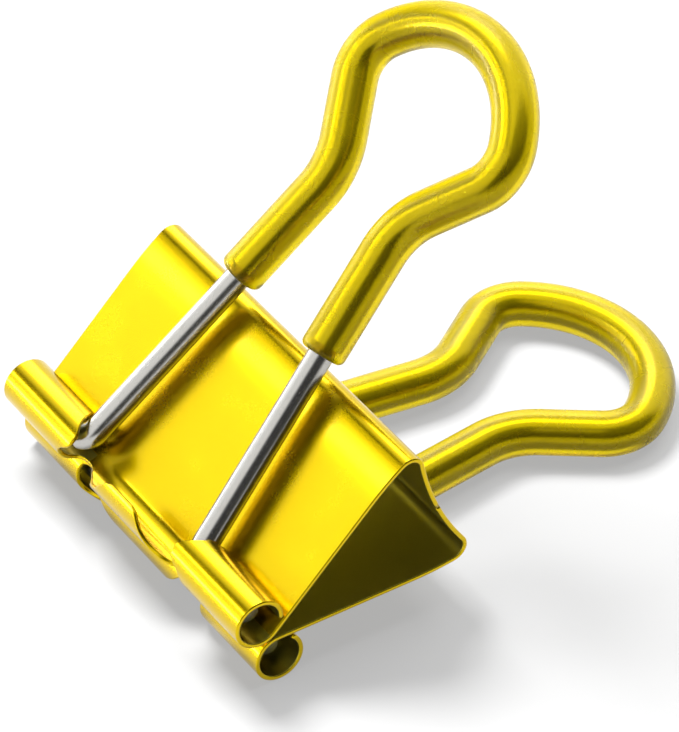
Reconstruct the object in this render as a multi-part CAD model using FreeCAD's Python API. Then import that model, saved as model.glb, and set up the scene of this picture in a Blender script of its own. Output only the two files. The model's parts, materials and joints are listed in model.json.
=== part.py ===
"""A small binder clip lying on a table, as separate solids.

One strip of spring steel makes the body: a hollow back, two flat faces, and on the free end of
each face two rolled barrels with a half-rolled lip between them. A wire handle with a vinyl sleeve
pivots in each pair of barrels. The strip bends at its two folds when the clip opens, so it is made
here as three solids that meet at the folds: the back, the front jaw and the back jaw.

Everything is first drawn in the clip's own frame and then laid down.
Clip frame: x runs along the jaws, y from the barrels' axes towards the back, z out of the front face,
with z = 0 midway between the jaws.
Part frame: +Z is up, z = 0 is the table, and the origin is the middle of the footprint.
Millimetres throughout.
"""
import FreeCAD
import Part
import math
import os

# --- Driving dimensions -------------------------------------------------------------------------
JAW_WIDTH = 19.0            # length of the strip along the jaws
SHEET = 0.2                 # thickness of the spring steel
BARREL_RADIUS = 1.14        # outside radius of a rolled barrel
BARREL_LENGTH = 4.4         # each barrel, measured in from the end of the jaw
BARREL_WRAP = 318.0         # how far round the sheet is rolled, in degrees
JAW_GAP = 0.06              # between the closed jaws, so that the two bodies stay clear
BARREL_TO_FOLD = 8.55       # y from the barrels' axes to the centre of each fold
SPINE_SPAN = 5.42           # z between the centres of the two folds
FOLD_RADIUS = 0.66          # outside radius of each fold
SPINE_HOLLOW = 0.3          # how far the middle of the back lies inside the folds

LIP_WRAP = 168.0            # how far round the middle of each jaw is rolled
LIP_HALF_TIP = 1.3          # half length of the lip at its free edge
LIP_HALF_ROOT = 3.95        # half length of the lip where it leaves the face
NOTCH_START = 40.0          # roll angle at which the notches beside the lip begin
NOTCH_ROUND = 0.45          # radius in the corners of those notches

WIRE_DIAMETER = 1.14
WIRE_END_INSET = 0.9        # from the end of a barrel to the end of the wire in it
FOOT_BEND = 0.9             # centre-line radius where a leg turns into its barrel
LEG_SIDE_CLEARANCE = 0.14   # between a leg and the end of its barrel, all the way round its swing
NECK_HALF_WIDTH = 2.52      # centre line, where the two legs come closest
NECK_TO_TOP = 8.85          # from the neck to the top of the loop, along the handle
NECK_BEND = 3.4
SHOULDER_HALF_WIDTH = 5.08  # centre line, at the widest part of the loop
SHOULDER_BEND = 1.9
LOOP_LENGTH = 23.85         # from the pivot to the top of the loop, centre line
LOOP_TOP_BEND = 5.75

SLEEVE_DIAMETER = 2.0
SLEEVE_START = 9.7          # from the pivot to each end of the sleeve, along the handle
SLEEVE_END_ROUND = 0.3
SLEEVE_GRIP = 0.01          # how much smaller the sleeve's bore radius is than the wire's
FRONT_HANDLE_LIFT = 3.2     # how far above its fold the folded-back front handle rests, in degrees
BACK_HANDLE_LIFT = 4.2      # the same for the back handle, which the clip lies on

JAW_OPENING = 30.0          # how far each jaw turns about its fold, in degrees
FLEX_MARGIN = 2.0           # extra clear angle between the back and a jaw at full opening
FLEX_FROM = 62.0            # angle on the fold where the jaw's own sheet ends

# --- Values that follow from them ---------------------------------------------------------------
WIRE_RADIUS = WIRE_DIAMETER / 2
SLEEVE_RADIUS = SLEEVE_DIAMETER / 2
BARREL_INNER_END = JAW_WIDTH / 2 - BARREL_LENGTH
LEG_FOOT = BARREL_INNER_END - LEG_SIDE_CLEARANCE - WIRE_RADIUS
NECK_DISTANCE = LOOP_LENGTH - NECK_TO_TOP

PIVOT = FreeCAD.Vector(0, 0, BARREL_RADIUS + JAW_GAP / 2)
FOLD = FreeCAD.Vector(0, BARREL_TO_FOLD, SPINE_SPAN / 2)

HOLLOW_REACH = FOLD_RADIUS - SPINE_HOLLOW
SPINE_RADIUS = (HOLLOW_REACH ** 2 + FOLD.z ** 2 - FOLD_RADIUS ** 2) / (2 * SPINE_HOLLOW)
SPINE_CENTRE = FreeCAD.Vector(0, FOLD.y + SPINE_RADIUS + HOLLOW_REACH, 0)
SPINE_END = math.degrees(math.asin(FOLD.z / (FOLD_RADIUS + SPINE_RADIUS)))


def angle_between(start, end):
    """The angle of the line from start to end above the y axis, in degrees, and its length."""
    across = end - start
    return math.degrees(math.atan2(across.z, across.y)), across.Length


def face_angle():
    """The angle of the front face: tangent to the underside of the barrel and the top of the fold."""
    slope, length = angle_between(PIVOT, FOLD)
    return slope + math.degrees(math.asin((BARREL_RADIUS + FOLD_RADIUS - SHEET) / length))


FACE_ANGLE = face_angle()


def polar(centre, radius, degrees):
    """The point in the plane x = 0 at that angle above the y axis round a centre."""
    turn = math.radians(degrees)
    return centre + FreeCAD.Vector(0, radius * math.cos(turn), radius * math.sin(turn))


def roll_point(radius, wrap):
    """A point on the barrel: wrap 0 is where the face runs into it, and it grows along the roll."""
    return polar(PIVOT, radius, FACE_ANGLE - 90 - wrap)


def arc(centre, radius, start, end):
    """An arc in the plane x = 0 between two angles above the y axis."""
    middle = (start + end) / 2
    return Part.Arc(*(polar(centre, radius, a) for a in (start, middle, end))).toShape()


def line(start, end):
    """A straight edge."""
    return Part.LineSegment(start, end).toShape()


def closed_outline(edges):
    """A face from edges that follow one another, with straight edges closing any gap between them."""
    whole = []
    for number, edge in enumerate(edges):
        whole.append(edge)
        end, start = edge.lastVertex(True).Point, edges[(number + 1) % len(edges)].firstVertex(True).Point
        if end.distanceToPoint(start) > 1e-6:
            whole.append(line(end, start))
    return Part.Face(Part.Wire(whole))


def along_jaw(face, half_length):
    """The solid that a face in the plane x = 0 sweeps over the middle of the jaw."""
    face = face.copy()
    face.translate(FreeCAD.Vector(-half_length, 0, 0))
    return face.extrude(FreeCAD.Vector(2 * half_length, 0, 0))


def reversed_arc(centre, radius, start, end):
    """The same arc as arc(), run the other way."""
    return arc(centre, radius, end, start)


# --- The spring-steel body ----------------------------------------------------------------------
def spine_solid():
    """The hollow back with the part of each fold that doesn't move."""
    fold_start = FLEX_FROM - JAW_OPENING - FLEX_MARGIN
    low_fold = FreeCAD.Vector(0, FOLD.y, -FOLD.z)
    inside = FOLD_RADIUS - SHEET
    edges = [
        arc(FOLD, FOLD_RADIUS, fold_start, -SPINE_END),
        arc(SPINE_CENTRE, SPINE_RADIUS, 180 - SPINE_END, 180 + SPINE_END),
        arc(low_fold, FOLD_RADIUS, SPINE_END, -fold_start),
        reversed_arc(low_fold, inside, SPINE_END, -fold_start),
        reversed_arc(SPINE_CENTRE, SPINE_RADIUS + SHEET, 180 - SPINE_END, 180 + SPINE_END),
        reversed_arc(FOLD, inside, fold_start, -SPINE_END),
    ]
    return along_jaw(closed_outline(edges), JAW_WIDTH / 2)


def rolled_jaw():
    """The front jaw before its middle is cut: fold, face and one barrel over the whole length."""
    top = FACE_ANGLE + 90
    bore = BARREL_RADIUS - SHEET
    roll_start = FACE_ANGLE - 90
    edges = [
        reversed_arc(PIVOT, bore, roll_start, roll_start - BARREL_WRAP),
        line(roll_point(bore, 0), polar(FOLD, FOLD_RADIUS, top)),
        arc(FOLD, FOLD_RADIUS, top, FLEX_FROM),
        reversed_arc(FOLD, FOLD_RADIUS - SHEET, top, FLEX_FROM),
        line(polar(FOLD, FOLD_RADIUS - SHEET, top), roll_point(BARREL_RADIUS, 0)),
        arc(PIVOT, BARREL_RADIUS, roll_start, roll_start - BARREL_WRAP),
    ]
    return along_jaw(closed_outline(edges), JAW_WIDTH / 2)


def in_face_frame(shape):
    """Moves a shape drawn with +Y along the face and +Z out of it, about the pivot, into place."""
    shape.rotate(FreeCAD.Vector(), FreeCAD.Vector(1, 0, 0), FACE_ANGLE)
    shape.translate(PIVOT)
    return shape


def rounded_polygon(points, radii):
    """A face with the given corners in the x-z plane, each rounded by its radius."""
    edges, count = [], len(points)
    runs = []
    for here, radius in enumerate(radii):
        corner = points[here]
        to_last = (points[here - 1] - corner).normalize()
        to_next = (points[(here + 1) % count] - corner).normalize()
        half = to_last.getAngle(to_next) / 2
        setback = radius / math.tan(half)
        start, end = corner + to_last * setback, corner + to_next * setback
        middle = corner + (to_last + to_next).normalize() * (radius / math.sin(half) - radius)
        runs.append((start, middle, end, radius))
    for here, (start, middle, end, radius) in enumerate(runs):
        if radius:
            edges.append(Part.Arc(start, middle, end).toShape())
        edges.append(line(end, runs[(here + 1) % count][0]))
    return Part.Face(Part.Wire(edges))


def jaw_middle_cut():
    """What is cut from the roll between the barrels, which leaves the lip with a notch each side."""
    reach = 2 * BARREL_RADIUS
    floor = -BARREL_RADIUS * math.cos(math.radians(NOTCH_START))
    lip_edge = -BARREL_RADIUS * math.sin(math.radians(LIP_WRAP))
    behind_lip = Part.makeBox(2 * BARREL_INNER_END, reach, reach)
    behind_lip.translate(FreeCAD.Vector(-BARREL_INNER_END, lip_edge, floor))
    cuts = [behind_lip]
    for side in (1, -1):
        corners = [
            FreeCAD.Vector(side * LIP_HALF_TIP, -reach, BARREL_RADIUS),
            FreeCAD.Vector(side * LIP_HALF_ROOT, -reach, floor),
            FreeCAD.Vector(side * BARREL_INNER_END, -reach, floor),
            FreeCAD.Vector(side * BARREL_INNER_END, -reach, BARREL_RADIUS),
        ]
        notch = rounded_polygon(corners, [0, NOTCH_ROUND, NOTCH_ROUND, 0])
        cuts.append(notch.extrude(FreeCAD.Vector(0, reach + lip_edge, 0)))
    return in_face_frame(Part.makeCompound(cuts))


def front_jaw_solid():
    """The front jaw: its part of the fold, the flat face, two barrels and the lip between them."""
    return rolled_jaw().cut(jaw_middle_cut())


# --- The handles --------------------------------------------------------------------------------
class Bend:
    """A round bend of a flat path: its centre, its radius, and 1 for a left turn or -1 for a right."""

    def __init__(self, x, y, radius, turn):
        self.centre = FreeCAD.Vector(x, y, 0)
        self.radius = radius
        self.turn = turn

    def edge(self, start, end):
        """The arc of this bend between two points on it."""
        first, last = start - self.centre, end - self.centre
        a = math.atan2(first.y, first.x)
        b = math.atan2(last.y, last.x)
        swept = (b - a) % (2 * math.pi) if self.turn > 0 else -((a - b) % (2 * math.pi))
        middle = a + swept / 2
        point = self.centre + FreeCAD.Vector(math.cos(middle), math.sin(middle), 0) * self.radius
        return Part.Arc(start, point, end).toShape()


def straight_between(one, two):
    """The two points where the straight line that joins two bends leaves one and meets two."""
    across = two.centre - one.centre
    lean = math.asin((two.turn * two.radius - one.turn * one.radius) / across.Length)
    heading = math.atan2(across.y, across.x) - lean
    left = FreeCAD.Vector(-math.sin(heading), math.cos(heading), 0)
    return one.centre - left * one.turn * one.radius, two.centre - left * two.turn * two.radius


def handle_bends():
    """The foot, neck, shoulder and top bends of the right half of a handle, in its own plane."""
    foot = Bend(LEG_FOOT + FOOT_BEND, FOOT_BEND, FOOT_BEND, -1)
    neck = Bend(NECK_HALF_WIDTH + NECK_BEND, NECK_DISTANCE, NECK_BEND, -1)
    top = Bend(0, LOOP_LENGTH - LOOP_TOP_BEND, LOOP_TOP_BEND, 1)
    shoulder_x = SHOULDER_HALF_WIDTH - SHOULDER_BEND
    rise = math.sqrt((LOOP_TOP_BEND - SHOULDER_BEND) ** 2 - shoulder_x ** 2)
    shoulder = Bend(shoulder_x, top.centre.y + rise, SHOULDER_BEND, 1)
    return foot, neck, shoulder, top


def half_path():
    """The right half of a handle's centre line: the foot's edges, the leg, and the loop's edges."""
    foot, neck, shoulder, top = handle_bends()
    foot_start = FreeCAD.Vector(foot.centre.x, 0, 0)
    foot_end, neck_start = straight_between(foot, neck)
    neck_end, shoulder_start = straight_between(neck, shoulder)
    to_shoulder = (shoulder.centre - top.centre).normalize()
    shoulder_end = top.centre + to_shoulder * top.radius
    loop_top = FreeCAD.Vector(0, LOOP_LENGTH, 0)
    wire_end = FreeCAD.Vector(JAW_WIDTH / 2 - WIRE_END_INSET, 0, 0)
    foot_edges = [line(wire_end, foot_start), foot.edge(foot_start, foot_end)]
    loop_edges = [
        neck.edge(neck_start, neck_end),
        line(neck_end, shoulder_start),
        shoulder.edge(shoulder_start, shoulder_end),
        top.edge(shoulder_end, loop_top),
    ]
    return foot_edges, (foot_end, neck_start), loop_edges


def mirrored_path(edges):
    """Edges of the right half, followed by the same edges on the left half in the order of travel."""
    left = [edge.mirror(FreeCAD.Vector(), FreeCAD.Vector(1, 0, 0)) for edge in reversed(edges)]
    return Part.Wire(Part.__sortEdges__(edges + left))


def swept_ring(path, start, direction, outer, inner=0.0):
    """A round bar, or a tube if inner is given, along a path that starts there in that direction."""
    faces = [Part.Face(Part.Wire(Part.makeCircle(outer, start, direction)))]
    if inner:
        faces.append(Part.Face(Part.Wire(Part.makeCircle(inner, start, direction))))
    solids = [path.makePipe(face) for face in faces]
    return solids[0].cut(solids[1]) if inner else solids[0]


def wire_solid():
    """The bare wire of a handle, lying in the x-y plane with its pivot on the x axis."""
    foot_edges, (leg_start, leg_end), loop_edges = half_path()
    path = mirrored_path(foot_edges + [line(leg_start, leg_end)] + loop_edges)
    start = FreeCAD.Vector(JAW_WIDTH / 2 - WIRE_END_INSET, 0, 0)
    return swept_ring(path, start, FreeCAD.Vector(-1, 0, 0), WIRE_RADIUS)


def sleeve_solid():
    """The vinyl tube over the loop and the upper part of both legs."""
    _, (leg_start, leg_end), loop_edges = half_path()
    along = (leg_end - leg_start).normalize()
    start = leg_start + along * ((SLEEVE_START - leg_start.y) / along.y)
    path = mirrored_path([line(start, leg_end)] + loop_edges)
    tube = swept_ring(path, start, along, SLEEVE_RADIUS, WIRE_RADIUS - SLEEVE_GRIP)
    rims = [edge for edge in tube.Edges if is_circle(edge, SLEEVE_RADIUS) and at_sleeve_end(edge, start)]
    return tube.makeFillet(SLEEVE_END_ROUND, rims)


def is_circle(edge, radius):
    """Whether an edge is a circle of that radius."""
    return isinstance(edge.Curve, Part.Circle) and abs(edge.Curve.Radius - radius) < 1e-6


def at_sleeve_end(edge, start):
    """Whether a circle is centred on one of the sleeve's two ends."""
    centre = edge.Curve.Center
    return FreeCAD.Vector(abs(centre.x), centre.y, centre.z).distanceToPoint(start) < 1e-6


def handle_touch_angle():
    """The angle above the middle plane at which a handle's bare legs would touch the fold."""
    slope, length = angle_between(PIVOT, FOLD)
    return slope + math.degrees(math.asin((WIRE_RADIUS + FOLD_RADIUS) / length))


# Of the front handle (side 1) and the back handle (side -1), each towards its own side.
HANDLE_ANGLES = {
    1: handle_touch_angle() + FRONT_HANDLE_LIFT,
    -1: handle_touch_angle() + BACK_HANDLE_LIFT,
}


def hung_on_jaw(shape, side):
    """Folds a flat handle back over the front face (side 1) or the back face (side -1)."""
    shape = shape.copy()
    shape.rotate(FreeCAD.Vector(), FreeCAD.Vector(1, 0, 0), side * HANDLE_ANGLES[side])
    shape.translate(FreeCAD.Vector(0, PIVOT.y, side * PIVOT.z))
    return shape


# --- Laying the clip down and writing it --------------------------------------------------------
# A sleeve thinner than the barrels touches down at the top of its loop, a thicker one at its start.
SLEEVE_REST = LOOP_LENGTH if SLEEVE_RADIUS < BARREL_RADIUS else SLEEVE_START
LIE_TILT = math.degrees(math.asin((SLEEVE_RADIUS - BARREL_RADIUS) / SLEEVE_REST))
LIE_ANGLE = HANDLE_ANGLES[-1] + LIE_TILT


def laid_down(shape):
    """Lays the clip on its back handle and back barrels, with the middle of its footprint at 0, 0."""
    shape = shape.copy()
    shape.rotate(FreeCAD.Vector(), FreeCAD.Vector(1, 0, 0), LIE_ANGLE)
    lie, tilt = math.radians(LIE_ANGLE), math.radians(LIE_TILT)
    aside = PIVOT.z * math.sin(lie)
    y_low = -aside - BARREL_RADIUS
    y_high = aside + LOOP_LENGTH * math.cos(tilt) + SLEEVE_RADIUS
    height = PIVOT.z * math.cos(lie) + BARREL_RADIUS
    shape.translate(FreeCAD.Vector(0, -(y_low + y_high) / 2, height))
    return shape


def all_parts():
    """Every node's name and solid, in the clip frame."""
    front_jaw = front_jaw_solid()
    wire, sleeve = wire_solid(), sleeve_solid()
    middle_plane = (FreeCAD.Vector(), FreeCAD.Vector(0, 0, 1))
    return {
        "body_spine": spine_solid(),
        "body_front_jaw": front_jaw,
        "body_back_jaw": front_jaw.mirror(*middle_plane),
        "front_handle_wire": hung_on_jaw(wire, 1),
        "front_handle_sleeve": hung_on_jaw(sleeve, 1),
        "back_handle_wire": hung_on_jaw(wire, -1),
        "back_handle_sleeve": hung_on_jaw(sleeve, -1),
    }


def write_parts():
    """Writes one STEP file per node."""
    os.makedirs("parts", exist_ok=True)
    for name, solid in all_parts().items():
        placed = laid_down(solid)
        placed.exportStep(f"parts/{name}.step")
        print(f"{name}: {placed.Volume:.2f} mm3, {len(placed.Solids)} solid, valid {placed.isValid()}")


write_parts()
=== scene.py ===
"""A small binder clip lying on a pale floor.

The body is one strip of lacquered spring steel with rolled barrels, made here as a front half and a back
half. Each half holds a plated wire handle, and each handle's loop wears a vinyl
sleeve.

Shapes are drawn in the clip's own frame and then placed in the row's frame. In the clip's frame x runs
along the jaws, y runs from the barrels' axes towards the back, and z runs out of the front face, with z = 0
between the jaws.
"""
import json
import logging
import math
from dataclasses import dataclass, field
from enum import Enum
from typing import Any, Optional, Sequence, Union

import bpy
import numpy as np
from mathutils import Matrix, Vector


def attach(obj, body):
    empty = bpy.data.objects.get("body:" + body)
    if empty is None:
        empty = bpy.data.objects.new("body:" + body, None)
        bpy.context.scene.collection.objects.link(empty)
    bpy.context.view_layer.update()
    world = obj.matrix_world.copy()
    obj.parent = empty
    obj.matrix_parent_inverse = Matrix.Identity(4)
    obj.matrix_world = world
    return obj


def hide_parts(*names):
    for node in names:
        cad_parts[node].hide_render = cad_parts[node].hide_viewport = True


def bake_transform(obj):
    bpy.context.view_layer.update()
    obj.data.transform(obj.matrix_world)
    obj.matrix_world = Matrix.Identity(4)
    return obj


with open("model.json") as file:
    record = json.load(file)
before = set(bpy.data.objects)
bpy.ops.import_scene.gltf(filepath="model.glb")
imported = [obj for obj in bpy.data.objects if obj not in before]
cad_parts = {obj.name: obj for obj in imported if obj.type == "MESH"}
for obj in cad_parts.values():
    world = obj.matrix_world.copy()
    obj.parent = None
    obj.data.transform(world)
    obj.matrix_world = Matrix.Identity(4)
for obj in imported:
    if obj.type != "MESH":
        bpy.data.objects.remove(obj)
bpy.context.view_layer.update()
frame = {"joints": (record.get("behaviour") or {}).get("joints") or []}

MM = 0.001
LOG = logging.getLogger("binder_clip")


class Side(Enum):
    """Which face of the clip a piece belongs to; the value is the sign of its z in the clip's frame."""

    FRONT = 1
    BACK = -1

    @property
    def word(self) -> str:
        """The side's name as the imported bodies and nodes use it."""
        return self.name.lower()


# --- Where the clip lies -------------------------------------------------------------------------------
@dataclass(frozen=True)
class ClipFrame:
    """The clip's own frame inside the row's frame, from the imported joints, with lengths in millimetres."""

    origin: np.ndarray
    axes: np.ndarray
    pivot: np.ndarray
    fold: np.ndarray
    handle_angle: dict[Side, float]

    @classmethod
    def from_joints(cls, joints: Sequence[dict[str, Any]]) -> "ClipFrame":
        """Works the frame out from the two barrels' axes and the fold's axis.

        Args:
            joints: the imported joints.

        Returns:
            The frame, with the pivot and the fold of the front side as (y, z) in it.
        """
        named = {joint["name"]: joint for joint in joints}
        place = {name: np.array(joint["pos_m"]) / MM for name, joint in named.items()}
        front, back = place["front_handle_swing"], place["back_handle_swing"]
        out = (front - back) / np.linalg.norm(front - back)
        along = np.array([1.0, 0.0, 0.0])
        axes = np.array([along, np.cross(out, along), out])
        origin = (front + back) / 2
        angles = {
            side: math.radians(180 - named[f"{side.word}_handle_swing"]["range_deg"][1]) for side in Side
        }
        fold = axes @ (place["front_jaw_flex"] - origin)
        return cls(origin, axes, (axes @ (front - origin))[1:], fold[1:], angles)

    def place(self, points: np.ndarray) -> np.ndarray:
        """Points of the clip's frame, in millimetres, as points of the row's frame, in metres."""
        return (self.origin + points @ self.axes) * MM


# --- Meshes from whole arrays --------------------------------------------------------------------------
@dataclass
class Surface:
    """A mesh as arrays: points in the clip's frame, quads, and a (length, around) pair for each point.

    The points may be marked as sharp or as inner ones, a flat cap may close each open ring, and around may
    start again after a period.
    """

    points: np.ndarray
    quads: np.ndarray
    along: np.ndarray
    sharp: Optional[np.ndarray] = None
    inner: Optional[np.ndarray] = None
    caps: Sequence[np.ndarray] = ()
    period: Optional[float] = None

    def to_object(self, name: str, clip: ClipFrame) -> bpy.types.Object:
        """Puts the arrays into a new, smooth-shaded object at the origin.

        Args:
            name: the piece's name.
            clip: the frame that the points are in.

        Returns:
            The object, with the UV map "along" in millimetres and, where points are marked, the attribute
            "inner".
        """
        mesh = bpy.data.meshes.new(name)
        faces = self.quads.tolist() + [cap.tolist() for cap in self.caps]
        mesh.from_pydata(clip.place(self.points), [], faces)
        corners = np.empty(len(mesh.loops), dtype=np.int32)
        mesh.loops.foreach_get("vertex_index", corners)
        along = self.along[corners]
        if self.period is not None:
            around = along[: self.quads.size, 1].reshape(-1, 4)
            around += self.period * (around.max(axis=1, keepdims=True) - around > self.period / 2)
        layer = mesh.uv_layers.new(name="along")
        layer.data.foreach_set("uv", along.astype(np.float32).ravel())
        mesh.polygons.foreach_set("use_smooth", np.ones(len(mesh.polygons), dtype=bool))
        if self.inner is not None:
            marks = mesh.attributes.new("inner", "FLOAT", "POINT")
            marks.data.foreach_set("value", self.inner.astype(np.float32))
        if self.sharp is not None:
            ends = np.empty(2 * len(mesh.edges), dtype=np.int32)
            mesh.edges.foreach_get("vertices", ends)
            creased = self.sharp[ends.reshape(-1, 2)].all(axis=1)
            flags = mesh.attributes.new("sharp_edge", "BOOLEAN", "EDGE")
            flags.data.foreach_set("value", creased)
        mesh.update()
        made = bpy.data.objects.new(name, mesh)
        bpy.context.scene.collection.objects.link(made)
        return made


def grid_quads(rows: int, columns: int, wrap_rows: bool = False, wrap_columns: bool = False) -> np.ndarray:
    """The quads of a grid whose points are numbered row by row.

    Args:
        rows: the number of rows.
        columns: the number of columns.
        wrap_rows: whether the last row joins the first.
        wrap_columns: whether the last column joins the first.

    Returns:
        One quad for each cell, as point numbers.
    """
    row, column = np.meshgrid(
        np.arange(rows if wrap_rows else rows - 1),
        np.arange(columns if wrap_columns else columns - 1),
        indexing="ij",
    )
    row, column = row.ravel(), column.ravel()
    below, beside = (row + 1) % rows, (column + 1) % columns
    here, there = row * columns, below * columns
    corners = (here + column, here + beside, there + beside, there + column)
    return np.stack(corners, axis=1)


def spread(low: np.ndarray, high: np.ndarray, count: int, margin: float) -> np.ndarray:
    """Evenly spread values between two limits, with a narrow first and last step.

    Args:
        low: the lower limit of each row.
        high: the upper limit of each row.
        count: how many values a row gets.
        margin: the width of its first and last step.

    Returns:
        An array with a row for each limit and count columns.
    """
    even = np.linspace(0.0, 1.0, count - 2)
    inner = (low + margin)[:, None] + (high - low - 2 * margin)[:, None] * even
    return np.hstack([low[:, None], inner, high[:, None]])


def smooth_through(knots: Sequence[tuple[float, float]], at: np.ndarray) -> np.ndarray:
    """A smooth curve through (position, value) knots.

    It is a cubic Hermite whose slope at a knot is the chord across it.

    Args:
        knots: the pairs, with the positions rising.
        at: the positions at which to read the curve.

    Returns:
        The curve's value at each position.
    """
    where, value = np.array(knots).T
    slope = np.gradient(value, where)
    left = np.clip(np.searchsorted(where, at, side="right") - 1, 0, len(where) - 2)
    step = where[left + 1] - where[left]
    t = np.clip((at - where[left]) / step, 0, 1)
    rise = value[left + 1] - value[left]
    start_part = t * (1 - t) ** 2 * slope[left] * step
    end_part = t * t * (t - 1) * slope[left + 1] * step
    return value[left] + rise * t * t * (3 - 2 * t) + start_part + end_part


# --- Shader expressions --------------------------------------------------------------------------------
Number = Union["Value", float]


class Value:
    """A number or vector flowing out of a node's socket, on which arithmetic adds Math nodes."""

    def __init__(self, shop: "Bench", socket: bpy.types.NodeSocket) -> None:
        """Keeps the socket and the node tree that it is in."""
        self.shop = shop
        self.socket = socket

    def math(self, operation: str, *others: Number) -> "Value":
        """This value and others through one Math node.

        Args:
            operation: the Math node's operation.
            others: its further operands.

        Returns:
            The node's output.
        """
        operands = {number: operand for number, operand in enumerate((self, *others))}
        return self.shop.node("ShaderNodeMath", {"operation": operation}, operands)

    def __add__(self, other: Number) -> "Value":
        """self + other."""
        return self.math("ADD", other)

    __radd__ = __add__

    def __mul__(self, other: Number) -> "Value":
        """self * other."""
        return self.math("MULTIPLY", other)

    __rmul__ = __mul__

    def __sub__(self, other: Number) -> "Value":
        """self - other."""
        return self.math("SUBTRACT", other)

    def __rsub__(self, other: Number) -> "Value":
        """other - self."""
        return (self * -1.0) + other

    def between(self, low: float, high: float) -> "Value":
        """0 where this value is below low, 1 above high, and a smooth step between them."""
        settings = {"interpolation_type": "SMOOTHSTEP"}
        inputs = {"Value": self, "From Min": low, "From Max": high}
        return self.shop.node("ShaderNodeMapRange", settings, inputs)


Feed = Union[Value, float, Sequence[float]]


class Bench:
    """A node tree under construction."""

    def __init__(self, tree: bpy.types.NodeTree) -> None:
        """Keeps the tree."""
        self.tree = tree

    def node(
        self,
        kind: str,
        settings: Optional[dict[str, Any]] = None,
        inputs: Optional[dict[Union[str, int], Feed]] = None,
        output: Union[str, int] = 0,
    ) -> Value:
        """Adds a node, sets it up, and fills its sockets.

        Args:
            kind: the node's type.
            settings: its properties.
            inputs: for each socket's name or number, a number, a colour or vector, or a link.
            output: the socket to return.

        Returns:
            That output.
        """
        made = self.tree.nodes.new(kind)
        for key, setting in (settings or {}).items():
            setattr(made, key, setting)
        for key, feed in (inputs or {}).items():
            self.feed(made.inputs[key], feed)
        return Value(self, made.outputs[output])

    def feed(self, socket: bpy.types.NodeSocket, feed: Feed) -> None:
        """Links a value to a socket, or sets the socket to a constant."""
        if isinstance(feed, Value):
            self.tree.links.new(feed.socket, socket)
        elif isinstance(feed, (int, float)):
            socket.default_value = feed
        else:
            size = len(socket.default_value)
            socket.default_value = tuple(feed) + (1.0,) * (size - len(feed))


class Finish(Bench):
    """A material under construction: a Principled surface and the nodes that feed it."""

    def __init__(self, name: str) -> None:
        """Makes the material with only its output and its Principled shader."""
        self.material = bpy.data.materials.new(name)
        self.material.use_nodes = True
        super().__init__(self.material.node_tree)
        self.surface = self.tree.nodes["Principled BSDF"]

    def wear(self, **inputs: Feed) -> None:
        """Feeds the Principled shader's sockets, named with underscores for spaces."""
        for key, feed in inputs.items():
            self.feed(self.surface.inputs[key.replace("_", " ")], feed)

    def noise(self, where: Value, scale: float, detail: float = 2.0, roughness: float = 0.5) -> Value:
        """Noise from 0 to 1, mostly near a half, with that many cells to a unit of where."""
        inputs = {"Vector": where, "Scale": scale, "Detail": detail, "Roughness": roughness}
        return self.node("ShaderNodeTexNoise", {"noise_dimensions": "3D"}, inputs)

    def object_place(self) -> Value:
        """The place on the piece, in millimetres."""
        place = self.node("ShaderNodeTexCoord", output="Object")
        return self.node("ShaderNodeMapping", {}, {"Vector": place, "Scale": (1 / MM, 1 / MM, 1 / MM)})

    def stretched(self, where: Value, scale: Sequence[float]) -> Value:
        """A place with each of its axes multiplied by its own factor."""
        return self.node("ShaderNodeMapping", {}, {"Vector": where, "Scale": scale})

    def uv_place(self) -> Value:
        """The place in the piece's own length and width, in millimetres."""
        return self.node("ShaderNodeUVMap", {"uv_map": "along"})

    def split(self, where: Value, axis: str) -> Value:
        """One axis of a place."""
        return self.node("ShaderNodeSeparateXYZ", {}, {0: where}, output=axis)

    def mark(self, name: str) -> Value:
        """The mesh's attribute of that name."""
        return self.node("ShaderNodeAttribute", {"attribute_name": name}, output="Fac")

    def mix(self, share: Number, one: Feed, two: Feed) -> Value:
        """The colour one where share is 0, and two where it is 1."""
        made = self.tree.nodes.new("ShaderNodeMix")
        made.data_type = "RGBA"
        colours = [socket for socket in made.inputs if socket.type == "RGBA"]
        self.feed(made.inputs[0], share)
        self.feed(colours[0], one)
        self.feed(colours[1], two)
        return Value(self, next(socket for socket in made.outputs if socket.type == "RGBA"))

    def bump(self, height: Value, depth: float) -> Value:
        """The normal of a surface that rises by depth, in millimetres, where height is 1."""
        return self.node("ShaderNodeBump", {}, {"Height": height, "Distance": depth * MM, "Strength": 1.0})


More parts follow.
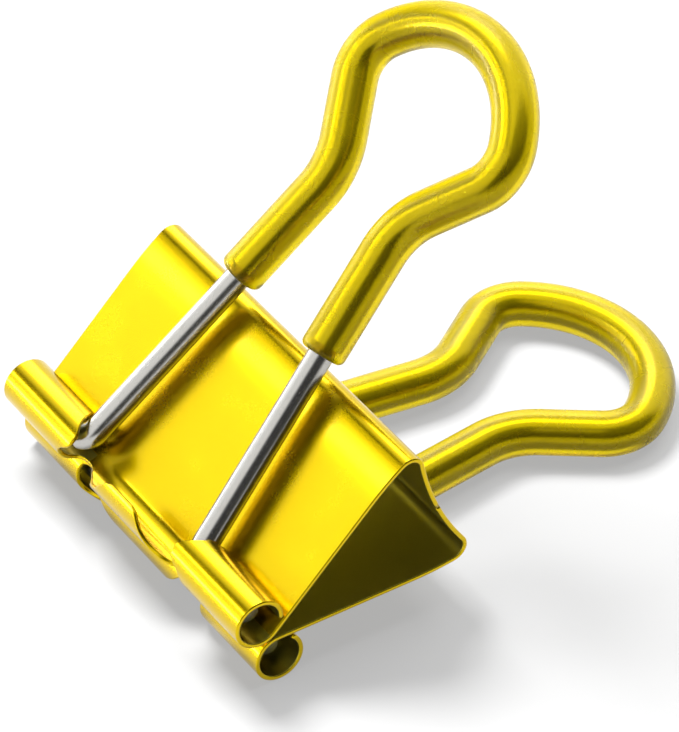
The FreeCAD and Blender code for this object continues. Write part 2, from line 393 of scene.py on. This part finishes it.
@dataclass(frozen=True)
class Lacquer:
    """Glossy gold-yellow lacquer over spring steel, with fine dust and faint orange peel, rougher inside,
    where a duller olive is painted in as shade.
    """

    colour: tuple[float, float, float] = (0.72, 0.51, 0.0)
    deep_colour: tuple[float, float, float] = (0.66, 0.43, 0.0)
    # Painted shade: the duller olive given to the inside surfaces in place of the shade that falls inside the
    # clip.
    inner_colour: tuple[float, float, float] = (0.58, 0.53, 0.1)
    dust: tuple[float, float, float] = (0.3, 0.22, 0.01)
    roughness: float = 0.22
    coat_weight: float = 0.7
    coat_roughness: float = 0.1
    coat_index: float = 1.2
    peel_depth: float = 0.0008

    def make(self) -> bpy.types.Material:
        """Builds the material."""
        finish = Finish("gold_yellow_lacquer")
        place = finish.object_place()
        cloud = finish.noise(place, 0.5, detail=3.0).between(0.4, 0.7)
        peel = finish.noise(place, 9.0, detail=2.0)
        speck = finish.noise(place, 24.0, detail=1.0).between(0.7, 0.77)
        inside = finish.mark("inner")
        outer_colour = finish.mix(cloud * 0.12, self.colour, self.deep_colour)
        # Painted shade on the inside surfaces, wherever the mark 'inner' is set.
        colour = finish.mix(inside, outer_colour, self.inner_colour)
        finish.wear(
            Base_Color=finish.mix(speck * 0.4, colour, self.dust),
            Metallic=1.0,
            Roughness=cloud * 0.04 + peel * 0.04 + inside * 0.12 + self.roughness,
            Coat_Weight=self.coat_weight,
            Coat_IOR=self.coat_index,
            Coat_Roughness=self.coat_roughness,
            Normal=finish.bump(peel, self.peel_depth),
        )
        return finish.material


@dataclass(frozen=True)
class PlatedWire:
    """Nickel-plated spring wire, drawn, with fine lines along it."""

    colour: tuple[float, float, float] = (0.52, 0.51, 0.48)
    stain_colour: tuple[float, float, float] = (0.36, 0.34, 0.29)
    speck_colour: tuple[float, float, float] = (0.2, 0.19, 0.17)
    roughness: float = 0.14
    speck_height: float = 0.003

    def make(self) -> bpy.types.Material:
        """Builds the material."""
        finish = Finish("nickel_plate")
        place = finish.uv_place()
        lines = finish.noise(finish.stretched(place, (1.6, 12.0, 1.0)), 1.0, detail=4.0)
        stain = finish.noise(place, 1.2, detail=4.0).between(0.55, 0.75)
        speck = finish.noise(place, 16.0, detail=1.0).between(0.66, 0.74)
        colour = finish.mix(stain * 0.2, self.colour, self.stain_colour)
        finish.wear(
            Base_Color=finish.mix(speck * 0.5, colour, self.speck_colour),
            Metallic=1.0,
            Roughness=lines * 0.14 + stain * 0.05 + self.roughness,
            Normal=finish.bump(speck, self.speck_height),
        )
        return finish.material


@dataclass(frozen=True)
class Vinyl:
    """Soft, glossy, see-through yellow vinyl, a little cloudy, over the wire that it grips."""

    colour: tuple[float, float, float] = (0.8, 0.62, 0.002)
    cloudy: tuple[float, float, float] = (0.7, 0.53, 0.002)
    sheen: tuple[float, float, float] = (1.0, 0.9, 0.4)
    clearness: float = 0.96
    index: float = 1.3
    roughness: float = 0.24
    ripple_depth: float = 0.008

    def make(self) -> bpy.types.Material:
        """Builds the material."""
        finish = Finish("clear_yellow_vinyl")
        place = finish.object_place()
        patch = finish.noise(place, 0.6, detail=2.0).between(0.4, 0.64)
        ripple = finish.noise(place, 0.5, detail=0.0)
        finish.wear(
            Base_Color=finish.mix(patch * 0.5, self.colour, self.cloudy),
            Roughness=patch * 0.06 + self.roughness,
            Transmission_Weight=self.clearness,
            IOR=self.index,
            Specular_Tint=self.sheen,
            Normal=finish.bump(ripple, self.ripple_depth),
        )
        return finish.material


# --- The spring-steel body -----------------------------------------------------------------------------
@dataclass(frozen=True)
class SheetProfile:
    """The mid-line of the front half of the bent strip in the y-z plane, run from the middle of the back.

    The runs are: the hollow back, an arc whose centre is behind the clip; the fold, an arc about the fold's
    axis; the flat face; and the roll, an arc about the barrel's axis. The normal points out of the clip,
    and so towards the centre of the roll.
    """

    pivot: np.ndarray
    fold: np.ndarray
    sheet: float
    barrel_radius: float
    fold_radius: float
    spine_hollow: float
    bulge: float = 0.11
    bulge_place: float = 2.0

    @property
    def roll_radius(self) -> float:
        """The radius of the roll's mid-line."""
        return self.barrel_radius - self.sheet / 2

    @property
    def bend_radius(self) -> float:
        """The radius of the fold's mid-line."""
        return self.fold_radius - self.sheet / 2

    @property
    def face_angle(self) -> float:
        """The angle of the face above the clip's middle plane."""
        across = self.fold - self.pivot
        reach = self.barrel_radius + self.fold_radius - self.sheet
        return math.atan2(across[1], across[0]) + math.asin(reach / float(np.hypot(*across)))

    @property
    def back_radius(self) -> float:
        """The radius of the hollow back's mid-line."""
        reach = self.fold_radius - self.spine_hollow
        outer = (reach**2 + self.fold[1] ** 2 - self.fold_radius**2) / (2 * self.spine_hollow)
        return outer + self.sheet / 2

    @property
    def back_turn(self) -> float:
        """The angle of the hollow back from its middle to the fold."""
        return math.asin(self.fold[1] / (self.bend_radius + self.back_radius))

    @property
    def runs(self) -> np.ndarray:
        """The lengths of the back, the fold and the face."""
        apart = float(np.sum((self.fold - self.pivot) ** 2))
        flat = math.sqrt(apart - (self.roll_radius + self.bend_radius) ** 2)
        bend = self.bend_radius * (self.face_angle + math.pi / 2 + self.back_turn)
        return np.array([self.back_radius * self.back_turn, bend, flat])

    def roll_length(self, wrap: np.ndarray) -> np.ndarray:
        """The length along the strip at that many degrees round the roll."""
        return self.runs.sum() + self.roll_radius * np.radians(wrap)

    def rise(self, length: np.ndarray) -> np.ndarray:
        """How far the face stands proud of its straight run, because it is not quite flat.

        From the barrel it rises in a straight line to the bulge, and then a parabola with the same slope
        brings it down to nothing where the fold begins. The slope there dies away along the fold.
        """
        back, bend, flat = self.runs
        past = length - back - bend
        climb = self.bulge / (flat - self.bulge_place)
        fall = 2 * self.bulge / self.bulge_place + climb
        parabola = past * (fall - (climb + self.bulge / self.bulge_place) * past / self.bulge_place)
        straight = np.clip(climb * (flat - past), 0, None)
        turned = np.clip(-past / bend, 0, 1)
        on_fold = fall * past * (1 - turned) ** 2
        return np.where(past > self.bulge_place, straight, np.where(past > 0, parabola, on_fold))

    def at(self, length: np.ndarray) -> tuple[np.ndarray, np.ndarray]:
        """Points and outward normals of the strip's mid-line.

        On an arc the point is the centre plus the radius times the direction at the angle reached; on the
        face it is the fold's end plus the distance past it.

        Args:
            length: the distances from the middle of the back.

        Returns:
            The (y, z) points and the (y, z) normals.
        """
        back, bend, flat = self.runs
        face, turn = self.face_angle, self.back_turn
        behind = np.array([self.fold[0] + (self.bend_radius + self.back_radius) * math.cos(turn), 0.0])
        angles = [
            math.pi - length / self.back_radius,
            (length - back) / self.bend_radius - turn,
            np.full_like(length, face + math.pi / 2),
            face - math.pi / 2 - (length - back - bend - flat) / self.roll_radius,
        ]
        radii = (self.back_radius, self.bend_radius, self.bend_radius, self.roll_radius)
        centres = (behind, self.fold, self.fold, self.pivot)
        signs = (-1.0, 1.0, 1.0, -1.0)
        beyond = length - back - bend
        past = np.stack([-np.cos(face) * beyond, -np.sin(face) * beyond], axis=1)
        which = np.searchsorted([back, back + bend, back + bend + flat], length, side="left")
        points, normals = np.zeros((len(length), 2)), np.zeros((len(length), 2))
        for run, (angle, radius, centre, sign) in enumerate(zip(angles, radii, centres, signs)):
            heading = np.stack([np.cos(angle), np.sin(angle)], axis=1)
            here = centre + radius * heading + (past if run == 2 else 0.0)
            points = np.where((which == run)[:, None], here, points)
            normals = np.where((which == run)[:, None], sign * heading, normals)
        return points + self.rise(length)[:, None] * normals, normals


@dataclass
class SteelBody:
    """The lacquered body: for each side a strip from the middle of the back to the barrels and the lip."""

    clip: ClipFrame
    material: bpy.types.Material
    jaw_width: float = 19.0
    sheet: float = 0.2
    barrel_radius: float = 1.14
    fold_radius: float = 0.66
    spine_hollow: float = 0.3
    barrel_wrap: float = 318.0
    edge_round: float = 0.05
    edge_steps: int = 6
    notch_middle: float = 4.38
    notch_wrap: float = 39.0
    barrel_columns: int = 16
    lip_columns: int = 30
    # Half length of the lip, and x of each barrel's inner end, at degrees round the roll.
    lip_outline: tuple[tuple[float, float], ...] = (
        (41.0, 4.06), (46.0, 3.86), (55.0, 3.66), (71.0, 3.22), (90.0, 2.8), (105.0, 2.36), (124.0, 1.88),
        (148.0, 1.42), (159.0, 1.2), (165.0, 1.02), (168.0, 0.8),
    )
    barrel_outline: tuple[tuple[float, float], ...] = (
        (41.0, 4.72), (46.0, 4.93), (60.0, 5.06), (90.0, 5.08), (111.0, 5.07), (128.0, 4.96), (141.0, 4.7),
        (155.0, 4.3), (172.0, 4.17), (188.0, 4.17), (200.0, 4.36), (222.0, 4.72), (250.0, 5.0),
        (268.0, 5.25), (290.0, 5.38), (318.0, 5.42),
    )
    made: list[bpy.types.Object] = field(default_factory=list)

    @property
    def profile(self) -> SheetProfile:
        """The strip's profile on the front side."""
        return SheetProfile(
            self.clip.pivot, self.clip.fold, self.sheet,
            self.barrel_radius, self.fold_radius, self.spine_hollow,
        )

    def _outline(self, knots: Sequence[tuple[float, float]], end: float) -> tuple[np.ndarray, np.ndarray]:
        """One side of a notch, from its round bottom outwards.

        The bottom is a half ellipse step: its width grows with the square root of the wrap past the bottom.

        Args:
            knots: (wrap, x) pairs past the bottom.
            end: the wrap at which the side ends.

        Returns:
            The wraps in degrees, close together at the bottom, and x at each of them.
        """
        first_wrap, first_x = knots[0]
        share = np.linspace(0.0, 1.0, 9)[1:]
        bottom = self.notch_wrap + (first_wrap - self.notch_wrap) * share**2
        x_bottom = self.notch_middle + (first_x - self.notch_middle) * share
        rest = np.linspace(first_wrap, end, int((end - first_wrap) / 4.0) + 2)[1:]
        return np.concatenate([bottom, rest]), np.concatenate([x_bottom, smooth_through(knots, rest)])

    def _strip(self, low: np.ndarray, high: np.ndarray, length: np.ndarray, columns: int) -> Surface:
        """A part of the strip's mid-surface between two x limits, over rows at the given lengths."""
        x = spread(low, high, columns, 0.03)
        points, _ = self.profile.at(length)
        y, z = (np.broadcast_to(points[:, axis : axis + 1], x.shape) for axis in (0, 1))
        grid = np.dstack([x, y, z])
        along = np.dstack([x, np.broadcast_to(length[:, None], x.shape)])
        return Surface(grid.reshape(-1, 3), grid_quads(len(length), columns)[:, ::-1], along.reshape(-1, 2))

    def _mid_surface(self) -> Surface:
        """The lip and the two barrels, each run from the middle of the back and welded at shared edges."""
        profile = self.profile
        back, bend, flat = profile.runs
        wall = np.concatenate([
            np.linspace(0, back, 13),
            back + np.linspace(0, bend, 15)[1:],
            back + bend + np.linspace(0, flat, 33)[1:],
            profile.roll_length(np.linspace(0, self.notch_wrap, 9)[1:]),
        ])
        middle = np.full_like(wall, self.notch_middle)
        edge = self.jaw_width / 2 - self.edge_round
        lip_wrap, lip_x = self._outline(self.lip_outline, self.lip_outline[-1][0])
        end_wrap, end_x = self._outline(self.barrel_outline, self.barrel_wrap)
        lip_x = np.concatenate([middle, lip_x])
        end_x = np.concatenate([middle, end_x])
        lip_rows = np.concatenate([wall, profile.roll_length(lip_wrap)])
        end_rows = np.concatenate([wall, profile.roll_length(end_wrap)])
        outer = np.full_like(end_x, edge)
        parts = [
            self._strip(-outer, -end_x, end_rows, self.barrel_columns),
            self._strip(-lip_x, lip_x, lip_rows, self.lip_columns),
            self._strip(end_x, outer, end_rows, self.barrel_columns),
        ]
        starts = np.cumsum([0] + [len(part.points) for part in parts[:-1]])
        points = np.concatenate([part.points for part in parts])
        along = np.concatenate([part.along for part in parts])
        quads = np.concatenate([part.quads + start for part, start in zip(parts, starts)])
        _, kept, renumbered = np.unique(np.round(points, 5), axis=0, return_index=True, return_inverse=True)
        return Surface(points[kept], renumbered.ravel()[quads], along[kept])

    def _shell(self, middle: Surface) -> Surface:
        """Gives the mid-surface its thickness and a rounded edge all round.

        The two skins lie half a sheet either side along the normal. At a free edge, each point of the rim
        is the edge's point plus the way out of the sheet times a rounded step, plus the normal times the
        sine of the same angle. The rows in the middle of the back meet the other half, so they are closed
        flat.
        """
        _, normals = self.profile.at(middle.along[:, 1])
        normals = np.hstack([np.zeros((len(normals), 1)), normals])
        count = len(middle.points)
        edges = np.concatenate([middle.quads[:, [k, (k + 1) % 4]] for k in range(4)])
        _, first, uses = np.unique(np.sort(edges, axis=1), axis=0, return_index=True, return_counts=True)
        rim = edges[first[uses == 1]]
        start, end = middle.points[rim[:, 0]], middle.points[rim[:, 1]]
        way = np.cross(end - start, normals[rim[:, 0]])
        way /= np.linalg.norm(way, axis=1)[:, None]
        on_seam = (middle.along[rim, 1] < 1e-6).all(axis=1)
        way[on_seam] = 0.0
        outwards = np.zeros_like(middle.points)
        np.add.at(outwards, rim[:, 0], way)
        np.add.at(outwards, rim[:, 1], way)
        size = np.linalg.norm(outwards, axis=1)
        outwards[size > 0] /= size[size > 0][:, None]
        ring = np.unique(rim)
        place = np.full(count, -1)
        place[ring] = np.arange(len(ring))
        angle = np.linspace(math.pi / 2, -math.pi / 2, self.edge_steps + 1)[1:-1]
        outward_step = self.edge_round * np.cos(angle)[:, None, None] ** 0.7 * outwards[ring]
        normal_step = self.sheet / 2 * np.sin(angle)[:, None, None] * normals[ring]
        rings = middle.points[ring] + outward_step + normal_step
        skins = [middle.points + normals * self.sheet / 2, middle.points - normals * self.sheet / 2]
        points = np.concatenate([*skins, rings.reshape(-1, 3)])
        levels = [np.arange(count)]
        levels += [2 * count + step * len(ring) + place for step in range(len(angle))]
        levels += [np.arange(count) + count]
        walls = [
            np.stack([low[rim[:, 1]], low[rim[:, 0]], high[rim[:, 0]], high[rim[:, 1]]], axis=1)
            for low, high in zip(levels[:-1], levels[1:])
        ]
        quads = np.concatenate([middle.quads, middle.quads[:, ::-1] + count, *walls])
        along = np.concatenate([middle.along, middle.along, np.tile(middle.along[ring], (len(angle), 1))])
        sharp = np.zeros(len(points), dtype=bool)
        sharp[ring] = True
        sharp[ring + count] = True
        # Marks the inside of the barrels and the inner skin of the back, fold and face, which the lacquer
        # paints with painted shade.
        rolled = middle.along[:, 1] > self.profile.runs.sum() + self.sheet
        in_barrel = rolled & (np.abs(middle.points[:, 0]) > self.notch_middle)
        inner = np.concatenate([in_barrel, ~rolled, np.zeros(rings.shape[0] * len(ring), dtype=bool)])
        return Surface(points, quads, along, sharp, inner)

    def build(self) -> list[bpy.types.Object]:
        """Makes both halves.

        Returns:
            The two pieces.
        """
        front = self._shell(self._mid_surface())
        for side in Side:
            points = front.points * np.array([1.0, 1.0, side.value])
            quads = front.quads if side is Side.FRONT else front.quads[:, ::-1]
            half = Surface(points, quads, front.along, front.sharp, front.inner)
            piece = half.to_object(f"body_{side.word}_half", self.clip)
            piece.data.materials.append(self.material)
            self._bend(piece, side)
            self.made.append(piece)
        return self.made

    def _bend(self, piece: bpy.types.Object, side: Side) -> None:
        """Works out a span from the middle of the back to just past the fold but does not use it; bakes the
        half's transform and hides the imported pieces that it replaces.
        """
        profile = self.profile
        middle, _ = profile.at(np.array([0.0]))
        reach = self.clip.fold[1] / 2
        start = np.array([[0.0, middle[0, 0], 0.0]])
        end = start + np.array([[0.0, -reach, side.value * reach]])
        tuple(self.clip.place(start)[0])
        tuple(self.clip.place(end)[0])
        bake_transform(piece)
        nodes = [f"body_{side.word}_jaw"] + (["body_spine"] if side is Side.FRONT else [])
        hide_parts(*nodes)


# --- The handles ---------------------------------------------------------------------------------------
@dataclass(frozen=True)
class HandlePath:
    """The centre line of a handle in its own plane, x across and s away from the pivot, mirrored at x = 0.

    It is run from the top of the loop towards the right foot as arcs and straights that meet tangentially,
    each given by its length and its curvature, which is positive for a left turn.
    """

    foot_x: float = 4.39
    foot_bend: float = 0.9
    neck_half_width: float = 2.52
    neck_distance: float = 15.0
    neck_bend: float = 3.4
    shoulder_half_width: float = 5.08
    shoulder_bend: float = 1.9
    loop_length: float = 23.85
    top_bend: float = 5.75
    end_x: float = 8.6

    @staticmethod
    def _heading(one: tuple[complex, float], two: tuple[complex, float]) -> tuple[float, float]:
        """The heading and length of the straight between two bends, each a centre and a signed radius."""
        across = two[0] - one[0]
        gap = two[1] - one[1]
        return float(np.angle(across)) - math.asin(gap / abs(across)), math.sqrt(abs(across) ** 2 - gap**2)

    @property
    def runs(self) -> np.ndarray:
        """The length and the curvature of each run."""
        top_centre = complex(0, self.loop_length - self.top_bend)
        inset = self.shoulder_half_width - self.shoulder_bend
        rise = math.sqrt((self.top_bend - self.shoulder_bend) ** 2 - inset**2)
        shoulder = (top_centre + complex(inset, rise), -self.shoulder_bend)
        neck = (complex(self.neck_half_width + self.neck_bend, self.neck_distance), self.neck_bend)
        foot = (complex(self.foot_x + self.foot_bend, self.foot_bend), self.foot_bend)
        at_shoulder = math.atan2(rise, inset) - math.pi / 2
        flank, flank_length = self._heading(shoulder, neck)
        leg, leg_length = self._heading(neck, foot)
        return np.array([
            (-at_shoulder * self.top_bend, -1 / self.top_bend),
            ((at_shoulder - flank) * self.shoulder_bend, -1 / self.shoulder_bend),
            (flank_length, 0.0),
            ((leg - flank) * self.neck_bend, 1 / self.neck_bend),
            (leg_length, 0.0),
            (-leg * self.foot_bend, 1 / self.foot_bend),
            (self.end_x - foot[0].real, 0.0),
        ])

    @property
    def half_length(self) -> float:
        """The length from the top of the loop to the end of the wire."""
        return float(self.runs[:, 0].sum())

    def at(self, length: np.ndarray) -> tuple[np.ndarray, np.ndarray]:
        """Points and directions of the centre line.

        Along a run of curvature k from heading h, the heading is h + k l, and the point moves by the
        integral of the heading's direction: (exp(i(h + k l)) - exp(i h)) / (i k), or l exp(i h) on a
        straight.

        Args:
            length: distances from the top of the loop, positive on the right and negative on the left.

        Returns:
            The (x, s) points, and the (x, s) unit directions in which the length grows.
        """
        sizes, bends = self.runs.T
        ends = np.cumsum(sizes)
        headings = np.concatenate([[0.0], np.cumsum(sizes * bends)])
        curved = np.where(bends == 0, 1.0, bends)
        arcs = (np.exp(1j * headings[1:]) - np.exp(1j * headings[:-1])) / (1j * curved)
        steps = np.where(bends == 0, sizes * np.exp(1j * headings[:-1]), arcs)
        starts = complex(0, self.loop_length) + np.concatenate([[0], np.cumsum(steps)])
        reach = np.abs(length)
        run = np.minimum(np.searchsorted(ends, reach), len(ends) - 1)
        past = reach - (ends - sizes)[run]
        heading = headings[run] + bends[run] * past
        moved = (np.exp(1j * heading) - np.exp(1j * headings[run])) / (1j * curved[run])
        point = starts[run] + np.where(bends[run] == 0, past * np.exp(1j * headings[run]), moved)
        way = np.exp(1j * heading)
        side = np.where(length < 0, -1.0, 1.0)
        points = np.stack([side * point.real, point.imag], axis=1)
        return points, np.stack([way.real, side * way.imag], axis=1)

    def length_at(self, distance: float) -> float:
        """The length from the top of the loop to where the leg is that far from the pivot."""
        ends = np.cumsum(self.runs[:, 0])
        leg_start, _ = self.at(ends[3:4])
        leg_end, _ = self.at(ends[4:5])
        share = (leg_start[0, 1] - distance) / (leg_start[0, 1] - leg_end[0, 1])
        return float(ends[3] + share * self.runs[4, 0])


@dataclass
class Handle:
    """One wire handle with its sleeve, folded back over its face."""

    clip: ClipFrame
    side: Side
    wire_material: bpy.types.Material
    sleeve_material: bpy.types.Material
    path: HandlePath = HandlePath()
    wire_diameter: float = 1.14
    wire_chamfer: float = 0.12
    sleeve_diameter: float = 2.0
    sleeve_start: float = 9.7
    sleeve_end_round: float = 0.3
    sleeve_grip: float = 0.01
    sections: int = 40
    wire_step: float = 0.18
    sleeve_step: float = 0.2

    def _tube(self, length: np.ndarray, radius: np.ndarray, wrap: bool) -> Surface:
        """A round tube along the handle's path, with its seam on the side of the face.

        Each point is the path's point plus the radius times (cosine of the angle times the path's left-hand
        normal in the handle's plane, plus sine of the angle times the plane's normal). The plane is then
        turned about the barrel's axis to the handle's angle.

        Args:
            length: the distance along the path of each ring.
            radius: the radius of each ring.
            wrap: whether the last ring joins the first, as on a sleeve with its bore.

        Returns:
            The surface, whose rings join end to end or are capped.
        """
        centre, way = self.path.at(length)
        angle = np.linspace(0, 2 * math.pi, self.sections, endpoint=False) - math.pi / 2
        left = np.stack([-way[:, 1], way[:, 0]], axis=1)
        flat = centre[:, None, :] + radius[:, None, None] * np.cos(angle)[None, :, None] * left[:, None, :]
        height = radius[:, None] * np.sin(angle)[None, :]
        lean = self.clip.handle_angle[self.side]
        sign = self.side.value
        y = self.clip.pivot[0] + flat[:, :, 1] * math.cos(lean) - height * math.sin(lean)
        z = sign * (self.clip.pivot[1] + flat[:, :, 1] * math.sin(lean) + height * math.cos(lean))
        points = np.dstack([flat[:, :, 0], y, z]).reshape(-1, 3)
        girth = math.pi * self.wire_diameter
        turn = np.linspace(0, girth, self.sections, endpoint=False)
        around = np.broadcast_to(turn, (len(length), self.sections))
        along = np.dstack([np.broadcast_to(length[:, None], around.shape), around]).reshape(-1, 2)
        quads = grid_quads(len(length), self.sections, wrap_rows=wrap, wrap_columns=True)
        ring = np.arange(self.sections)
        caps = [] if wrap else [ring[::-1], len(points) - self.sections + ring]
        if self.side is Side.BACK:
            quads = quads[:, ::-1]
            caps = [cap[::-1] for cap in caps]
        sharp = np.zeros(len(points), dtype=bool)
        sharp[np.concatenate([*caps, []]).astype(int)] = True
        return Surface(points, quads, along, sharp, caps=caps, period=girth)

    def _wire(self) -> Surface:
        """The bare wire, with chamfered ends."""
        half, radius = self.path.half_length, self.wire_diameter / 2
        steps = 2 * int(half / self.wire_step)
        shoulder, rim = half - self.wire_chamfer, radius - self.wire_chamfer
        length = np.concatenate([[-half], np.linspace(-shoulder, shoulder, steps), [half]])
        size = np.concatenate([[rim], np.full(steps, radius), [rim]])
        return self._tube(length, size, wrap=False)

    def _sleeve(self) -> Surface:
        """The sleeve: its outside with rounded ends, and its bore, which closes the surface."""
        reach = self.path.length_at(self.sleeve_start)
        outer, bore = self.sleeve_diameter / 2, self.wire_diameter / 2 - self.sleeve_grip
        turn = np.linspace(0, math.pi / 2, 7)
        inset = self.sleeve_end_round * (1 - np.sin(turn))
        rim = outer - self.sleeve_end_round * (1 - np.cos(turn))
        steps = int(reach / self.sleeve_step)
        body = np.linspace(-reach + self.sleeve_end_round, reach - self.sleeve_end_round, 2 * steps)[1:-1]
        start = -reach + inset[::-1]
        length = np.concatenate([start, body, -start[::-1], body[::-1]])
        radius = np.concatenate([rim[::-1], np.full(len(body), outer), rim, np.full(len(body), bore)])
        return self._tube(length, radius, wrap=True)

    def build(self) -> list[bpy.types.Object]:
        """Makes the wire and the sleeve and hangs them on the handle's body.

        Returns:
            The two pieces.
        """
        made = []
        parts = (
            ("wire", self._wire(), self.wire_material, "plated_wire"),
            ("sleeve", self._sleeve(), self.sleeve_material, "yellow_vinyl"),
        )
        for word, surface, material, slot in parts:
            piece = surface.to_object(f"{self.side.word}_{word}", self.clip)
            piece.data.materials.append(material)
            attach(piece, f"{self.side.word}_handle")
            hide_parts(f"{self.side.word}_handle_{word}")
            made.append(piece)
        return made


# --- The studio ----------------------------------------------------------------------------------------
@dataclass(frozen=True)
class FloorLight:
    """A square soft light that lights the floor and is not seen in anything's gloss."""

    name: str
    place: tuple[float, float, float]
    size: float
    power: float

    def build(self) -> None:
        """Adds the light, facing the clip."""
        light = bpy.data.lights.new(self.name, "AREA")
        light.size = self.size
        light.energy = self.power
        lamp = bpy.data.objects.new(self.name, light)
        lamp.location = self.place
        lamp.visible_glossy = False
        lamp.visible_transmission = False
        lamp.rotation_mode = "QUATERNION"
        lamp.rotation_quaternion = (-Vector(self.place)).to_track_quat("-Z", "Y")
        bpy.context.scene.collection.objects.link(lamp)


@dataclass(frozen=True)
class Glow:
    """A soft bright part of the surround.

    Each fade is an axis and two shares: the light is gone where a direction's share along the axis is the
    first, and full where it is the second.
    """

    radiance: float
    fades: tuple[tuple[tuple[float, float, float], float, float], ...]

    def seen(self, bench: Bench, direction: Value) -> Value:
        """The glow's radiance in a direction."""
        light: Number = self.radiance
        for axis, gone, full in self.fades:
            inputs = {0: direction, 1: axis}
            share = bench.node("ShaderNodeVectorMath", {"operation": "DOT_PRODUCT"}, inputs, output="Value")
            light = share.between(gone, full) * light
        return light


@dataclass(frozen=True)
class Studio:
    """A pale floor, soft light, and the camera."""

    camera_place: tuple[float, float, float] = (0.15446, -0.09700, 0.14970)
    aim: tuple[float, float, float] = (0.00072, -0.00288, 0.00665)
    roll: float = -1.348
    lens: float = 270.5
    shift: tuple[float, float] = (0.00024, 0.00276)
    sensor_width: float = 36.0
    seen_from_to: tuple[float, float] = (0.01, 10.0)
    floor_size: float = 3.0
    floor_colour: tuple[float, float, float] = (0.06, 0.06, 0.06)
    floor_light: tuple[float, float, float] = (0.42, 0.42, 0.42)
    floor_far_light: tuple[float, float, float] = (0.1, 0.1, 0.1)
    floor_fade: tuple[float, float] = (30.0, 90.0)
    surround: float = 0.06
    glows: tuple[Glow, ...] = (
        Glow(1.12, (((-0.35, 0.6, 0.72), 0.37, 0.28), ((1.0, 0.0, 0.0), 0.6, 0.3))),
        Glow(5.0, (
            ((-0.35, 0.6, 0.72), 0.22, 0.27), ((-0.35, 0.6, 0.72), 0.34, 0.29), ((1.0, 0.0, 0.0), -0.4, -0.6),
        )),
        Glow(1.1, (((0.0, 0.707, 0.707), 0.2, 0.45), ((1.0, 0.0, 0.0), 0.3, 0.0))),
        Glow(4.0, (((-0.668, 0.341, 0.662), 0.94, 0.985),)),
        Glow(14.0, (((0.0, 0.0, 1.0), 0.16, 0.06), ((-0.67, -0.742, 0.0), 0.86, 0.95))),
    )
    floor_lights: tuple[FloorLight, ...] = (
        FloorLight("floor_left", (-0.22, 0.0, 0.34), 0.16, 18.0),
        FloorLight("floor_back", (-0.05, 0.20, 0.42), 0.3, 4.8),
    )

    def build(self) -> None:
        """Adds everything that isn't part of the clip."""
        self._floor()
        self._sky()
        for light in self.floor_lights:
            light.build()
        self._camera()
        bpy.context.scene.view_settings.view_transform = "Standard"

    def _floor(self) -> None:
        """A flat sheet at z = 0, near black, that glows white like a light box, with a dimmer glow far along
        x.
        """
        half = self.floor_size / 2
        mesh = bpy.data.meshes.new("floor")
        corners = [(-half, -half, 0), (half, -half, 0), (half, half, 0), (-half, half, 0)]
        mesh.from_pydata(corners, [], [(0, 1, 2, 3)])
        finish = Finish("white_paper")
        # The floor's glow fades to a dimmer one far along x, which darkens what the clip's inside reflects.
        far = finish.split(finish.object_place(), "X").between(*self.floor_fade)
        finish.wear(
            Base_Color=self.floor_colour,
            Roughness=0.8,
            Specular_IOR_Level=0.0,
            Emission_Color=finish.mix(far, self.floor_light, self.floor_far_light),
            Emission_Strength=1.0,
        )
        mesh.materials.append(finish.material)
        floor = bpy.data.objects.new("floor", mesh)
        bpy.context.scene.collection.objects.link(floor)

    def _sky(self) -> None:
        """A dim even surround with the soft glows in it."""
        world = bpy.data.worlds.new("studio")
        bpy.context.scene.world = world
        world.use_nodes = True
        bench = Bench(world.node_tree)
        direction = bench.node("ShaderNodeTexCoord", output="Generated")
        strength: Number = self.surround
        for glow in self.glows:
            strength = glow.seen(bench, direction) + strength
        background = world.node_tree.nodes["Background"]
        bench.feed(background.inputs["Color"], (1.0, 1.0, 1.0))
        bench.feed(background.inputs["Strength"], strength)

    def _camera(self) -> None:
        """The camera, a long lens from the clip's right and above."""
        data = bpy.data.cameras.new("camera")
        data.lens = self.lens
        data.sensor_width = self.sensor_width
        data.shift_x, data.shift_y = self.shift
        data.clip_start, data.clip_end = self.seen_from_to
        camera = bpy.data.objects.new("camera", data)
        place, aim = Vector(self.camera_place), Vector(self.aim)
        level = (aim - place).to_track_quat("-Z", "Y").to_matrix()
        turned = level @ Matrix.Rotation(math.radians(self.roll), 3, "Z")
        camera.matrix_world = Matrix.Translation(place) @ turned.to_4x4()
        bpy.context.scene.collection.objects.link(camera)
        bpy.context.scene.camera = camera


def main() -> None:
    """Builds the clip and the studio, and reports each piece."""
    logging.basicConfig(level=logging.INFO, format="%(name)s: %(message)s")
    clip = ClipFrame.from_joints(frame["joints"])
    made = SteelBody(clip, Lacquer().make()).build()
    wire, vinyl = PlatedWire().make(), Vinyl().make()
    for side in Side:
        made += Handle(clip, side, wire, vinyl).build()
    for piece in made:
        LOG.info("%s: %d faces", piece.name, len(piece.data.polygons))
    Studio().build()


if __name__ == "__main__":
    main()
